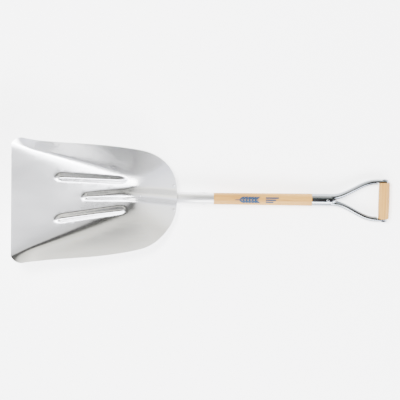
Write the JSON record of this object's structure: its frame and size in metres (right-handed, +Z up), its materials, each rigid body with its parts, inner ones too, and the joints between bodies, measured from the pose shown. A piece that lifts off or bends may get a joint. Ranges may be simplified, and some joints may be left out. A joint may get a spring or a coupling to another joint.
{
  "type": "grain scoop shovel",
  "caption": "Wide pressed aluminium scoop with ribbed floor and raised walls, on a short bent wooden handle with a steel D grip.",
  "frame": {"origin": "bottom centre of the box of the shovel lying on a flat surface, on its heel and its grip", "axes": "+X from the scoop's mouth to the grip, +Y to the left of that, +Z up, out of the open side of the scoop"},
  "size_m": [1.1632, 0.3874, 0.1588],
  "materials": {
    "pan_aluminium": "satin, lightly brushed",
    "rivet_aluminium": "semi-bright, hammered heads",
    "ash_wood": "clear satin lacquer over straight-grained ash",
    "bright_steel": "bright plated, slightly uneven"
  },
  "bodies": {
    "root": {"scoop_pan": "pan_aluminium", "back_plate": "pan_aluminium", "handle_socket": "pan_aluminium", "ear_rivet_left": "rivet_aluminium", "ear_rivet_right": "rivet_aluminium", "tail_rivet": "rivet_aluminium", "socket_rivet": "rivet_aluminium", "wood_handle": "ash_wood", "grip": "ash_wood", "d_fork": "bright_steel", "fork_rivet": "bright_steel", "grip_rod": "bright_steel", "rod_washer_left": "bright_steel", "rod_washer_right": "bright_steel"}
  },
  "joints": []
}
